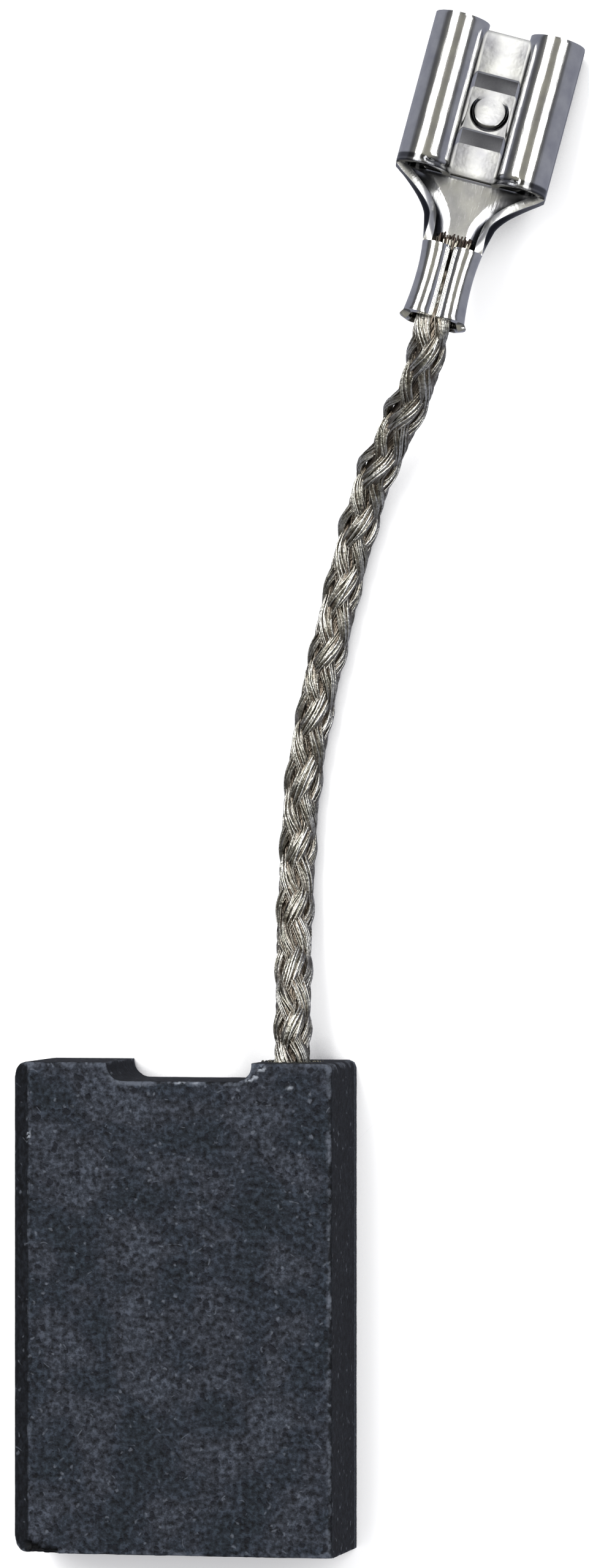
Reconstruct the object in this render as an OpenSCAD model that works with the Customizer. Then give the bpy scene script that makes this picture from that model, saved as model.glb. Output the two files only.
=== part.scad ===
// Carbon brush for a mains motor: a pressed carbon block, a plaited copper shunt
// tamped into it, and a crimped receptacle for a flat blade tab.
// It lies on its broad face. +Y runs from the contact face to the spring end.

/* [Block] */
// Width of the block, along the commutator's axis
block_width = 16; // [12:0.5:24]
// Length of the block, from contact face to spring end
block_length = 24; // [16:0.5:36]
// Thickness of the block, the way the commutator turns
block_thickness = 6.3; // [5:0.1:10]
// Leg of the keying chamfer along one long edge
key_chamfer = 0.9; // [0.3:0.1:1.5]
// Break along the other long edges
edge_break = 0.12; // [0.05:0.01:0.3]
// Corner radius on the chamfered side of the block
near_corner = 0.7; // [0.2:0.05:1.2]
// Corner radius at the spring end, beside the shunt
far_corner = 0.35; // [0.1:0.05:0.8]

/* [Spring notch] */
// Width of the notch that the spring's finger lies in
notch_width = 7.2; // [4:0.1:8]
// Depth of the notch
notch_depth = 0.9; // [0.5:0.1:2]
// Radius where the notch's floor meets its walls
notch_fillet = 0.8; // [0.1:0.05:1]
// Carbon left between the notch and the shunt's hole
notch_land = 0.15; // [0.1:0.05:1]

/* [Shunt] */
// Diameter of the plaited shunt
shunt_diameter = 2.1; // [1.6:0.1:2.4]
// Distance of the shunt's axis from the block's side
shunt_inset = 2.6; // [1.8:0.1:4]
// Diameter of the blind hole that the shunt is tamped into
hole_diameter = 2.5; // [2.5:0.1:3.2]
// Depth of the blind hole
hole_depth = 8; // [5:0.5:12]
// Powder left below the shunt's buried end
hole_bed = 1; // [0.5:0.1:2]
// How far the tamped powder stops short of the block's end
plug_recess = 0.15; // [0:0.05:0.5]

/* [Receptacle] */
// Sheet thickness of the receptacle
sheet = 0.4; // [0.3:0.05:0.5]
// Outside width over the two rolls
receptacle_width = 7.5; // [7:0.1:8.4]
// Length of the rolls
roll_length = 7.7; // [6:0.1:9]
// Height of the rolls
roll_height = 2.7; // [2.5:0.1:3.1]
// Outside radius of the curled part of a roll
curl_radius = 1.36; // [1.1:0.02:1.5]
// Outside radius where the plate turns up into a roll
corner_radius = 0.7; // [0.5:0.05:0.9]
// Angle through which a roll is curled
curl_angle = 192; // [180:1:200]
// Distance of the latch dimple from the tab end
latch_station = 3.95; // [3:0.05:5]
// Length of the bridge that carries the latch, between the windows
bridge_length = 2.1; // [1.8:0.1:2.6]
// Length of the two windows that free the latch bridge
window_length = 0.8; // [0.5:0.05:1.2]
// Width of the windows
window_width = 3.2; // [2:0.1:4]
// Radius of the latch dimple
dimple_radius = 0.83; // [0.6:0.01:1]
// Height of the latch dimple's step
dimple_rise = 0.3; // [0.15:0.05:0.4]
// Distance of the crease that stops the tab from the rolls' end
crease_inset = 0.2; // [0.1:0.05:0.6]

/* [Funnel] */
// Length over which the sheet narrows from the rolls to the crimp
funnel_length = 2.2; // [1.6:0.1:3]
// Height of the funnel's side walls at the rolls
wall_height = 1.5; // [1:0.1:2]
// How far the funnel's walls lean inwards half way along
wall_lean = 0.28; // [0:0.02:0.4]

/* [Crimp] */
// Length from the tab end to the crimp's mouth
receptacle_length = 15; // [14:0.1:18]
// Width of the crimp at its waist
crimp_width = 2.76; // [2.3:0.02:3.2]
// Height of the crimp at its waist
crimp_height = 2.05; // [1.9:0.05:2.4]
// Length of the crimped wings
wing_length = 3.6; // [2.5:0.1:4.5]
// Distance from the wings' front to the crimp's waist
waist_distance = 1.5; // [0.8:0.1:2.5]
// How far the bell mouth stands out past the wings
mouth_lip = 0.25; // [0.15:0.05:0.6]
// Thickness that the shunt is crushed to
crushed_height = 0.52; // [0.4:0.02:0.7]
// Gap left between the wings' facing folds
seam_gap = 0.06; // [0.02:0.01:0.1]
// Clearance between the crushed shunt and the crimp
core_clearance = 0.04; // [0.02:0.01:0.1]

/* [Hidden] */
$fn = 64;
over = 1; // how far a cutter runs past what it cuts

shunt_radius = shunt_diameter / 2;
tube_sides = 8;

exit_x = block_width / 2 - shunt_inset;
exit_z = block_thickness / 2;
surface_gap = 0.05; // left between the lying shunt and the surface
lying_z = shunt_radius + surface_gap;

// The shunt's way to the crimp's mouth: across and along from where it leaves the
// block, and height above where it lies.
way = [
    [0, 0, 2.05], [0, 2, 1.9], [-0.1, 4, 1.3], [-0.2, 6, 0.65], [-0.2, 8.5, 0.15],
    [-0.1, 11, 0], [0.1, 13.5, 0], [0.5, 16, 0], [1, 18.5, 0], [1.6, 21, 0],
    [2.2, 23.5, 0], [2.9, 26, 0.1], [3.7, 28.3, 0.5], [4.8, 30.4, 1.1],
    [5.9, 32.3, 1.9], [6.7, 34.1, 2.7], [7.2, 35.9, 3.25]
];
drop_end = 11; // up to here the heights follow the height of the hole
route = [for (p = way)
    let (rise = p.y < drop_end ? (exit_z - lying_z) / way[0].z : 1)
    [exit_x + p.x, block_length / 2 + p.y, lying_z + p.z * rise]];

// How the receptacle lies at the shunt's end: on one corner, its tab end down.
terminal_turn = -13.2;
terminal_pitch = -10.5;
terminal_roll = 9.5;
mouth_height = 1.1; // the shunt's axis at the mouth, above the plate's underside

// Stations are measured from the tab end towards the crimp.
roll_half = receptacle_width / 2;
crease_width = 0.16;
crease_depth = 0.14;
dimple_wall = 0.1; // how much smaller the dimple is where it is pressed in underneath
throat_station = roll_length + funnel_length;
wing_end = receptacle_length - mouth_lip;
wing_start = wing_end - wing_length;
waist_station = wing_start + waist_distance;
throat_flare = 0.05; // widening of the half-width per square millimetre from the waist
mouth_flare = 0.035;
mouth_splay = 0.06; // how far the mouth's walls splay outwards
floor_flat = 0.5; // width of the flat floor left inside the crimp
joint_overlap = 0.3; // how far one length of folded sheet runs into the next
joint_inset = 0.03; // how much thinner it is there, on each face
joint_skip = 0.02;

// How many straight steps the folds are drawn with.
corner_steps = 4;
lobe_steps = 8;
wall_steps = 2;
funnel_steps = 9;
wing_steps = 6;

// The crushed length of the shunt, inside the crimp.
core_corner = 0.3; // what the crimp's rounded floor takes off its width
core_half_width = (crimp_width - core_corner) / 2 - sheet - core_clearance;
core_half_height = crushed_height / 2;
core_height = sheet + core_clearance + core_half_height;
wire_end_length = 0.7; // the shunt's cut ends stand out of the wings by this
core_end = wing_start - wire_end_length;
mouth_half_height = 0.5; // half the shunt's height as it enters the mouth

// ---- Shunt and receptacle axes ----

function unit(v) = v / norm(v);

function turn_x(v, a) = [v.x, v.y * cos(a) - v.z * sin(a), v.y * sin(a) + v.z * cos(a)];
function turn_y(v, a) = [v.x * cos(a) + v.z * sin(a), v.y, v.z * cos(a) - v.x * sin(a)];
function turn_z(v, a) = [v.x * cos(a) - v.y * sin(a), v.x * sin(a) + v.y * cos(a), v.z];

// A direction given in the receptacle's own axes, turned as the receptacle lies.
function terminal_direction(v) =
    turn_z(turn_x(turn_y(v, terminal_roll), terminal_pitch), terminal_turn);

mouth = route[len(route) - 1];

// A point of the receptacle, from its place across, station from the tab end and height.
function terminal_point(across, station, height) =
    mouth + terminal_direction([across, receptacle_length - station, height - mouth_height]);

// ---- Carbon block ----

// What a square corner loses when it is rounded; the corner is at the origin.
module corner_waste(radius) {
    difference() {
        translate([-over, -over]) square(radius + over);
        translate([radius, radius]) circle(radius);
    }
}

module block_plan() {
    difference() {
        translate([-block_width / 2, -block_length / 2]) square([block_width, block_length]);
        translate([-block_width / 2, -block_length / 2]) corner_waste(near_corner);
        translate([-block_width / 2, block_length / 2]) mirror([0, 1]) corner_waste(near_corner);
        translate([block_width / 2, block_length / 2]) rotate(180) corner_waste(far_corner);
    }
}

// The block's section across its length, with the keying chamfer on one top edge.
module block_section() {
    half = block_width / 2;
    top = block_thickness;
    polygon([
        [-half, edge_break], [-half + edge_break, 0],
        [half - edge_break, 0], [half, edge_break],
        [half, top - edge_break], [half - edge_break, top],
        [-half + key_chamfer, top], [-half, top - key_chamfer]
    ]);
}

module notch_plan() {
    difference() {
        translate([0, -notch_depth]) square([notch_width, notch_depth + over]);
        translate([0, -notch_depth]) corner_waste(notch_fillet);
        translate([notch_width, -notch_depth]) mirror([1, 0]) corner_waste(notch_fillet);
    }
}

module carbon_block() {
    color([0.17, 0.18, 0.22])
    difference() {
        intersection() {
            linear_extrude(block_thickness) block_plan();
            translate([0, block_length / 2 + over, 0])
                rotate([90, 0, 0])
                linear_extrude(block_length + 2 * over) block_section();
        }
        translate([exit_x - hole_diameter / 2 - notch_land - notch_width, block_length / 2, -over])
            linear_extrude(block_thickness + 2 * over) notch_plan();
        translate([exit_x, block_length / 2 + over, exit_z])
            rotate([90, 0, 0])
            cylinder(d = hole_diameter, h = hole_depth + over);
    }
}

// ---- Tamped powder round the shunt's buried end ----

// The shunt's straight length inside the block, as the same eight-sided bar.
module buried_shunt(from_end, length) {
    translate([exit_x, block_length / 2 - from_end, exit_z])
        rotate([90, 180 / tube_sides, 0])
        cylinder(r = shunt_radius, h = length, $fn = tube_sides);
}

module tamping_plug() {
    color([0.42, 0.36, 0.3])
    difference() {
        translate([exit_x, block_length / 2 - plug_recess, exit_z])
            rotate([90, 0, 0])
            cylinder(d = hole_diameter, h = hole_depth - plug_recess);
        buried_shunt(-over, hole_depth - hole_bed + over);
    }
}

// ---- Shunt ----

// One ring of the tube: centre, the two half-axes as vectors.
function tube_ring(centre, side, up) =
    [for (i = [0 : tube_sides - 1])
        let (a = (i + 0.5) * 360 / tube_sides)
        centre + side * cos(a) + up * sin(a)];

// A ring on the route, square to the direction from the point before to the next. It is
// round up to the mouth, where the last one is flattened to fit the crimp.
function route_ring(i) =
    let (
        at_mouth = i == len(route) - 1,
        ahead = at_mouth ? terminal_point(0, receptacle_length - 1, mouth_height) : route[i + 1],
        along = i > 0 ? unit(ahead - route[i - 1]) : [0, 1, 0],
        side = unit(cross(along, [0, 0, 1])),
        half_width = at_mouth ? core_half_width : shunt_radius,
        half_height = at_mouth ? mouth_half_height : shunt_radius
    )
    tube_ring(route[i], side * half_width, cross(side, along) * half_height);

// A flattened ring inside the crimp.
function core_ring(station) =
    tube_ring(
        terminal_point(0, station, core_height),
        terminal_direction([1, 0, 0]) * core_half_width,
        terminal_direction([0, 0, 1]) * core_half_height
    );

tube_rings = concat(
    [tube_ring([exit_x, block_length / 2 - hole_depth + hole_bed, exit_z],
        [shunt_radius, 0, 0], [0, 0, shunt_radius])],
    [for (i = [0 : len(route) - 1]) route_ring(i)],
    [core_ring(wing_end + joint_skip), core_ring(core_end)]
);

// Skin of a stack of rings with the same even number of points, closed at both ends.
// An end is filled rung by rung between its two halves, as suits a folded sheet's outline.
module skin(rings) {
    n = len(rings[0]);
    last = (len(rings) - 1) * n;
    walls = [for (k = [0 : len(rings) - 2], i = [0 : n - 1], half = [0, 1])
        let (a = k * n + i, b = k * n + (i + 1) % n)
        half == 0 ? [a, a + n, b] : [b, a + n, b + n]];
    first_end = [for (i = [0 : n / 2 - 2], half = [0, 1])
        half == 0 ? [i, i + 1, n - 2 - i] : [i, n - 2 - i, n - 1 - i]];
    last_end = [for (face = first_end) [last + face[0], last + face[2], last + face[1]]];
    polyhedron(
        points = [for (ring = rings) each ring],
        faces = concat(walls, first_end, last_end),
        convexity = 8
    );
}

module shunt_braid() {
    color([0.55, 0.52, 0.46]) skin(tube_rings);
}

// ---- Receptacle ----

module wedge(radius, from, to) {
    polygon(concat([[0, 0]],
        [for (i = [0 : 4]) let (a = from + (to - from) * i / 4) 2 * radius * [cos(a), sin(a)]]));
}

// A bend in the sheet, seen from its end.
module bend(radius, from, to) {
    intersection() {
        difference() {
            circle(radius);
            circle(radius - sheet);
        }
        wedge(radius, from, to);
    }
}

module half_profile() {
    curl_z = roll_height - curl_radius;
    square([roll_half - corner_radius, sheet]);
    translate([roll_half - corner_radius, corner_radius]) bend(corner_radius, -90, 0);
    translate([roll_half - sheet, corner_radius]) square([sheet, curl_z - corner_radius]);
    translate([roll_half - curl_radius, curl_z]) bend(curl_radius, 0, curl_angle);
}

// The plate with its two rolls, from the tab end to where the rolls stop.
module rolled_plate() {
    rotate([90, 0, 0])
        linear_extrude(roll_length) {
            half_profile();
            mirror([1, 0]) half_profile();
        }
}

module window(station) {
    translate([-window_width / 2, -station - window_length / 2, -over])
        cube([window_width, window_length, sheet + 2 * over]);
}

// The latch: a round dimple that ramps up from the tab end and stops in a step.
module dimple(radius, rise) {
    slope = atan(rise / (2 * radius));
    difference() {
        cylinder(r = radius, h = rise);
        translate([0, radius, 0])
            rotate([-slope, 0, 0])
            translate([-2 * radius, -4 * radius, 0])
            cube([4 * radius, 5 * radius, 2 * radius]);
    }
}

// ---- Funnel and crimp, one sheet folded along its length ----

function ease_out(s) = 1 - (1 - s) ^ 1.5;

function barrel_half(u) =
    crimp_width / 2 + (u < waist_station ? throat_flare : mouth_flare) * (u - waist_station) ^ 2;

function half_at(u) =
    u < throat_station
        ? roll_half + (barrel_half(throat_station) - roll_half)
            * ease_out(max(0, (u - roll_length) / (throat_station - roll_length)))
        : barrel_half(u);

// Radius of the sheet's middle where the floor turns up into the wall.
function floor_bend(u) =
    let (s = min(1, max(0, (u - roll_length) / (throat_station - roll_length))))
    (corner_radius - sheet / 2) * (1 - s) + (crimp_width - sheet - floor_flat) / 2 * s;

// Radius of the middle of a wing's lobe, and the height of the lobe's centre.
function lobe_radius(u) = (half_at(u) - sheet - seam_gap / 2) / 2;
function lobe_centre(u) =
    crimp_height + half_at(u) - crimp_width / 2 - sheet / 2 - lobe_radius(u);

// The middle of the sheet on one side, from the floor's edge up to a plain wall's top.
function wall_path(u, wall, lean) =
    let (half = half_at(u) - sheet / 2, foot = sheet / 2 + floor_bend(u))
    concat(
        floor_turn(u),
        [for (i = [1 : wall_steps])
            let (s = i / wall_steps)
            [half - lean * s, foot + (wall - foot) * s]]
    );

// The same where the wall is a wing, rolled over and driven down into the shunt.
function wing_path(u) =
    let (half = half_at(u) - sheet / 2, lobe = lobe_radius(u))
    concat(
        floor_turn(u),
        [for (i = [0 : lobe_steps])
            let (a = 180 * i / lobe_steps)
            [half - lobe + lobe * cos(a), lobe_centre(u) + lobe * sin(a)]],
        [[half - 2 * lobe, core_height + core_half_height + core_clearance]]
    );

function floor_turn(u) =
    let (half = half_at(u) - sheet / 2, turn = floor_bend(u))
    [for (i = [0 : corner_steps])
        let (a = -90 + 90 * i / corner_steps)
        [half - turn + turn * cos(a), sheet / 2 + turn + turn * sin(a)]];

function whole_path(side) =
    concat([for (i = [len(side) - 1 : -1 : 0]) [-side[i].x, side[i].y]], side);

// Two parallel edges of the sheet round its middle, joined into one outline.
function sheet_outline(path, thickness) =
    let (
        n = len(path),
        normals = [for (i = [0 : n - 1])
            let (d = unit(path[min(i + 1, n - 1)] - path[max(i - 1, 0)]))
            [d.y, -d.x]]
    )
    concat(
        [for (i = [0 : n - 1]) path[i] + normals[i] * thickness / 2],
        [for (i = [n - 1 : -1 : 0]) path[i] - normals[i] * thickness / 2]
    );

function fold_ring(u, side, thickness) =
    [for (p = sheet_outline(whole_path(side), thickness)) [p.x, -u, p.y]];

function wall_ring(u, wall, lean = 0, inset = 0) =
    fold_ring(u, wall_path(u, wall, lean), sheet - 2 * inset);

// Lean of the funnel's walls towards its middle, greatest half way along.
function lean_at(u) = wall_lean * max(0, sin(180 * (u - roll_length) / (wing_start - roll_length)));

wing_wall = lobe_centre(waist_station);

// Between the rolls and the wings the sheet narrows as an open trough. Where it runs
// into the next length of the same sheet it is a little thinner, so the two merge.
module funnel() {
    first = roll_length + joint_skip;
    skin(concat(
        [wall_ring(roll_length - joint_overlap, wall_height, 0, joint_inset),
         wall_ring(first, wall_height, 0, joint_inset)],
        [for (i = [1 : funnel_steps])
            let (s = i / funnel_steps, u = first + (wing_start - first) * s)
            wall_ring(u, wall_height + (wing_wall - wall_height) * s, lean_at(u))],
        [wall_ring(wing_start + joint_skip, wing_wall - joint_skip, 0, joint_inset),
         wall_ring(wing_start + joint_overlap, wing_wall - joint_skip, 0, joint_inset)]
    ));
}

module crimped_wings() {
    skin([for (i = [0 : wing_steps])
        let (u = wing_start + wing_length * i / wing_steps)
        fold_ring(u, wing_path(u), sheet)]);
}

// Beyond the wings the trough flares into a bell mouth, so it doesn't cut the shunt.
module bell_mouth() {
    skin([
        wall_ring(wing_end - joint_overlap, wing_wall - joint_skip, 0, joint_inset),
        wall_ring(wing_end - joint_skip, wing_wall - joint_skip, 0, joint_inset),
        wall_ring(wing_end + joint_skip, wing_wall, 0),
        wall_ring(receptacle_length, wing_wall, -mouth_splay)
    ]);
}

module spade_terminal() {
    color([0.78, 0.78, 0.76])
    translate(terminal_point(0, 0, 0))
    rotate([0, 0, terminal_turn]) rotate([terminal_pitch, 0, 0]) rotate([0, terminal_roll, 0])
    union() {
        difference() {
            rolled_plate();
            window(latch_station - (bridge_length + window_length) / 2);
            window(latch_station + (bridge_length + window_length) / 2);
            translate([-roll_half + curl_radius, crease_inset - roll_length, sheet - crease_depth])
                cube([2 * (roll_half - curl_radius), crease_width, crease_depth + sheet]);
            translate([0, -latch_station, 0])
                dimple(dimple_radius - dimple_wall, dimple_rise / 2);
        }
        translate([0, -latch_station, sheet]) dimple(dimple_radius, dimple_rise);
        funnel();
        crimped_wings();
        bell_mouth();
    }
}

carbon_block();
tamping_plug();
shunt_braid();
spade_terminal();
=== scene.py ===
import math

import bmesh
import bpy
import numpy as np
from mathutils import Matrix, Vector, noise


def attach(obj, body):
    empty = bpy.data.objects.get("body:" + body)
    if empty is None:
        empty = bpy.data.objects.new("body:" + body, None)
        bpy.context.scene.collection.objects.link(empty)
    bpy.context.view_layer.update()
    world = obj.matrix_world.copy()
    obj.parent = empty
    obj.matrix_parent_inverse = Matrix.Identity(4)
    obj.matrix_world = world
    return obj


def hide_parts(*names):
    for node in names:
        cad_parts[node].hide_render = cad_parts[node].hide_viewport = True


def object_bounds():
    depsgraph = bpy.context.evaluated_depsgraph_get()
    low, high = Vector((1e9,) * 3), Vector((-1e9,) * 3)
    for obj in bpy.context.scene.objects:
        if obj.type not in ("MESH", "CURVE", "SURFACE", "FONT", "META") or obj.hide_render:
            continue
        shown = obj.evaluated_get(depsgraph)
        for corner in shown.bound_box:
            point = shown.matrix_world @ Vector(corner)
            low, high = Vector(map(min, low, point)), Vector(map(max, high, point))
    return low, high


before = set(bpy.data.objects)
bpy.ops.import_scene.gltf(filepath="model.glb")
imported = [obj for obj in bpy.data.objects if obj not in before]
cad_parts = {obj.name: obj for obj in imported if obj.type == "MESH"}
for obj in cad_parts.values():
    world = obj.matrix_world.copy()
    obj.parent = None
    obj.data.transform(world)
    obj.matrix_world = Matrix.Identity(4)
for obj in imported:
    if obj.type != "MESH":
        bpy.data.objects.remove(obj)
cadBox = [list(corner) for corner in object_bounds()]
scene = bpy.context.scene
mm = 0.001


# Meshes and objects

def meshObject(name, points, faces=(), edges=(), material=None):
    mesh = bpy.data.meshes.new(name)
    mesh.from_pydata([tuple(p) for p in points], edges, faces)
    mesh.update()
    made = bpy.data.objects.new(name, mesh)
    scene.collection.objects.link(made)
    if material:
        mesh.materials.append(material)
    return made


def lineObject(name, points):
    return meshObject(name, points, edges=[(i, i + 1) for i in range(len(points) - 1)])


def applied(source, name):
    # The evaluated object as a plain mesh; the source goes
    graph = bpy.context.evaluated_depsgraph_get()
    mesh = bpy.data.meshes.new_from_object(source.evaluated_get(graph), depsgraph=graph)
    old = source.data
    bpy.data.objects.remove(source)
    if old.users == 0:
        bpy.data.meshes.remove(old)
    mesh.name = name
    made = bpy.data.objects.new(name, mesh)
    scene.collection.objects.link(made)
    return made


def floatAttribute(mesh, name, values):
    layer = mesh.attributes.new(name, "FLOAT", "POINT")
    layer.data.foreach_set("value", np.asarray(values, dtype=np.float32))


def readArray(items, name, width, kind=float):
    values = np.empty(len(items) * width, dtype=kind)
    items.foreach_get(name, values)
    return values.reshape(-1, width)


def turnOutward(made):
    tidy = bmesh.new()
    tidy.from_mesh(made.data)
    bmesh.ops.recalc_face_normals(tidy, faces=tidy.faces)
    tidy.to_mesh(made.data)
    tidy.free()


def smoothShading(made):
    made.data.polygons.foreach_set("use_smooth", [True] * len(made.data.polygons))


# Nodes, for materials and for geometry. Values are numbers, colours or other nodes' outputs.

def toLinear(code):
    # sRGB hex to the linear colour that a shader socket takes
    parts = [int(code[i:i + 2], 16) / 255 for i in (1, 3, 5)]
    return tuple(p / 12.92 if p <= 0.04045 else ((p + 0.055) / 1.055) ** 2.4 for p in parts) + (1.0,)


def fill(node, sockets):
    # Sets or links a node's inputs
    for key, value in sockets.items():
        if isinstance(value, bpy.types.NodeSocket):
            node.id_data.links.new(value, node.inputs[key])
        else:
            node.inputs[key].default_value = toLinear(value) if str(value).startswith("#") else value


def addNode(tree, kind, sockets=None, **settings):
    node = tree.nodes.new(kind)
    for name, value in settings.items():
        setattr(node, name, value)
    fill(node, sockets or {})
    return node


def output(tree, kind, sockets=None, which=0, **settings):
    # One output of a new node
    return addNode(tree, kind, sockets, **settings).outputs[which]


def calc(tree, operation, *values, **settings):
    return output(tree, "ShaderNodeMath", dict(enumerate(values)), operation=operation, **settings)


def times(tree, a, b):
    return calc(tree, "MULTIPLY", a, b)


def vectorCalc(tree, operation, first, second):
    return output(tree, "ShaderNodeVectorMath", {0: first, 1: second}, operation=operation)


def scaled(tree, vector, factor):
    return output(tree, "ShaderNodeVectorMath", {0: vector, "Scale": factor}, operation="SCALE")


def spread(tree, value, low, high, first=0.0, last=1.0):
    # Low to high becomes first to last, and nothing goes beyond them
    return output(tree, "ShaderNodeMapRange", {
        "Value": value, "From Min": low, "From Max": high, "To Min": first, "To Max": last})


def noisy(tree, at, scale, detail=2.0, roughness=0.5, which="Fac"):
    return output(tree, "ShaderNodeTexNoise", {
        "Vector": at, "Scale": scale, "Detail": detail, "Roughness": roughness}, which)


def laidOver(tree, under, over, amount):
    return output(tree, "ShaderNodeMix", {"Factor": amount, 6: under, 7: over}, 2, data_type="RGBA")


def ramp(tree, value, stops):
    # Stops are places with hex or linear colours
    node = addNode(tree, "ShaderNodeValToRGB", {0: value})
    elements = node.color_ramp.elements
    while len(elements) < len(stops):
        elements.new(0.5)
    for element, (place, colour) in zip(elements, stops):
        element.position = place
        element.color = toLinear(colour) if isinstance(colour, str) else colour
    return node.outputs[0]


def marked(tree, name):
    # For a material: a float attribute of the mesh
    return output(tree, "ShaderNodeAttribute", None, "Fac", attribute_name=name)


def bumped(tree, height, distance, strength):
    return output(tree, "ShaderNodeBump", {"Height": height, "Distance": distance, "Strength": strength})


def newMaterial(name):
    # Returns the material, its tree and its shader
    material = bpy.data.materials.new(name)
    material.use_nodes = True
    tree = material.node_tree
    tree.nodes.clear()
    shader = addNode(tree, "ShaderNodeBsdfPrincipled")
    addNode(tree, "ShaderNodeOutputMaterial", {"Surface": shader.outputs["BSDF"]})
    return material, tree, shader


def runNodes(made, name, build, material, inputs):
    # Gives an object a node group with named inputs; build adds the nodes and returns the geometry.
    # The inputs are set by their identifiers, as the names only label them.
    tree = bpy.data.node_groups.new(name, "GeometryNodeTree")
    face = tree.interface
    face.new_socket("Geometry", in_out="INPUT", socket_type="NodeSocketGeometry")
    kinds = {int: "NodeSocketInt", float: "NodeSocketFloat", tuple: "NodeSocketVector"}
    sockets = {label: face.new_socket(label, in_out="INPUT", socket_type=kinds[type(value)])
               for label, value in inputs.items()}
    face.new_socket("Geometry", in_out="OUTPUT", socket_type="NodeSocketGeometry")
    geometry = build(tree, addNode(tree, "NodeGroupInput").outputs)
    real = output(tree, "GeometryNodeRealizeInstances", {"Geometry": geometry})
    finish = output(tree, "GeometryNodeSetMaterial", {"Geometry": real, "Material": material})
    addNode(tree, "NodeGroupOutput", {0: finish})
    modifier = made.modifiers.new(name, "NODES")
    modifier.node_group = tree
    for label, value in inputs.items():
        modifier[sockets[label].identifier] = value


def stored(tree, name):
    # For geometry: a float attribute of the mesh
    return output(tree, "GeometryNodeInputNamedAttribute", {"Name": name}, data_type="FLOAT")


def store(tree, geometry, name, value, domain):
    sockets = {"Geometry": geometry, "Name": name, "Value": value}
    return output(tree, "GeometryNodeStoreNamedAttribute", sockets, data_type="FLOAT", domain=domain)


def chance(tree, index, seed, low, high):
    return output(tree, "FunctionNodeRandomValue", {2: low, 3: high, 7: index, 8: seed}, 1,
                  data_type="FLOAT")


def chanceVector(tree, index, low, high):
    return output(tree, "FunctionNodeRandomValue", {0: low, 1: high, 7: index}, data_type="FLOAT_VECTOR")


def tube(tree, curve, sides, radius, scale=1.0):
    ring = output(tree, "GeometryNodeCurvePrimitiveCircle",
                  {"Resolution": sides, "Radius": radius}, mode="RADIUS")
    return output(tree, "GeometryNodeCurveToMesh", {
        "Curve": curve, "Profile Curve": ring, "Scale": scale, "Fill Caps": True})


def copied(tree, curve, amount):
    # Copies of a curve, and each copy's number
    node = addNode(tree, "GeometryNodeDuplicateElements", {"Geometry": curve, "Amount": amount},
                   domain="SPLINE")
    return node.outputs["Geometry"], node.outputs["Duplicate Index"]


def joined(tree, *parts):
    both = addNode(tree, "GeometryNodeJoinGeometry")
    for part in parts:
        tree.links.new(part, both.inputs[0])
    return both.outputs[0]


# Camera, floor and light

studio = {
    "tilt": 12.0,  # degrees towards +X from straight above
    "distance": 403.2 * mm,
    "viewHeight": 76.66 * mm,  # what the frame's height covers at the object
    "aim": Vector((-0.29, -0.08, 0.0)) * mm,  # from the middle of the object's box
    "sensor": 36.0,
    "floorSize": 6.0,
    "shadeReach": 4.0 * mm,
    "shadeOver": (0.22, 0.5),  # the share of open sky: deep shade up to the first, none from the second
    "shadeColour": "#77777d",
    "cardColour": "#f9f9f8",
    "worldColour": (0.85, 0.85, 0.884, 1.0),  # what lights the floor, besides the two lights
    "room": [  # what the metal mirrors, from the horizon up to straight above
        (0.0, (0.31, 0.32, 0.38, 1.0)),
        (0.26, (0.29, 0.30, 0.35, 1.0)),
        (0.42, (0.10, 0.10, 0.11, 1.0)),
        (0.62, (0.11, 0.11, 0.11, 1.0)),
        (0.84, (0.26, 0.25, 0.22, 1.0)),
        (1.0, (0.34, 0.33, 0.28, 1.0)),
    ],
    "underside": (0.03, 0.03, 0.035, 1.0),  # what the metal mirrors onto the floor below it
    "strips": [  # where from (relative to the receptacle), width, length, power
        {"name": "leftStrip", "way": (-0.27, 0.46, 0.84), "size": (0.16, 0.40), "power": 1.7},
        {"name": "rightStrip", "way": (0.645, 0.21, 0.735), "size": (0.15, 0.40), "power": 1.25},
    ],
    "stripCentre": Vector((15.0, 55.0, 3.0)) * mm,
    "stripDistance": 0.42,
}


def makeCamera():
    low, high = (Vector(corner) for corner in cadBox)
    target = (low + high) / 2 + studio["aim"]
    tilt = math.radians(studio["tilt"])
    back = Vector((math.sin(tilt), 0.0, math.cos(tilt)))
    lens = bpy.data.cameras.new("camera")
    lens.sensor_fit = "VERTICAL"
    lens.sensor_height = studio["sensor"]
    lens.lens = studio["sensor"] * studio["distance"] / studio["viewHeight"]
    lens.clip_start, lens.clip_end = 0.01, 20.0
    camera = bpy.data.objects.new("camera", lens)
    scene.collection.objects.link(camera)
    camera.location = target + back * studio["distance"]
    right = Vector((math.cos(tilt), 0.0, -math.sin(tilt)))
    camera.rotation_euler = Matrix((right, (0.0, 1.0, 0.0), back)).transposed().to_euler()
    scene.camera = camera


def makeFloor():
    # Pale, without gloss, with painted shade where the receptacle covers it: the card's colour darkens where
    # little open sky is near
    material, tree, shader = newMaterial("matt white card")
    clear = output(tree, "ShaderNodeAmbientOcclusion", {"Distance": studio["shadeReach"]}, "AO", samples=8)
    light = spread(tree, clear, *studio["shadeOver"])
    # Painted shade: the card turns grey where it is covered
    card = laidOver(tree, studio["shadeColour"], studio["cardColour"], light)
    fill(shader, {"Base Color": card, "Roughness": 0.9, "Specular IOR Level": 0.1})
    half = studio["floorSize"] / 2
    corners = [(-half, -half, 0), (half, -half, 0), (half, half, 0), (-half, half, 0)]
    floor = meshObject("floor", corners, [(0, 1, 2, 3)], material=material)
    floor.visible_glossy = False  # the metal mirrors a dim room, as under a light tent


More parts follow.
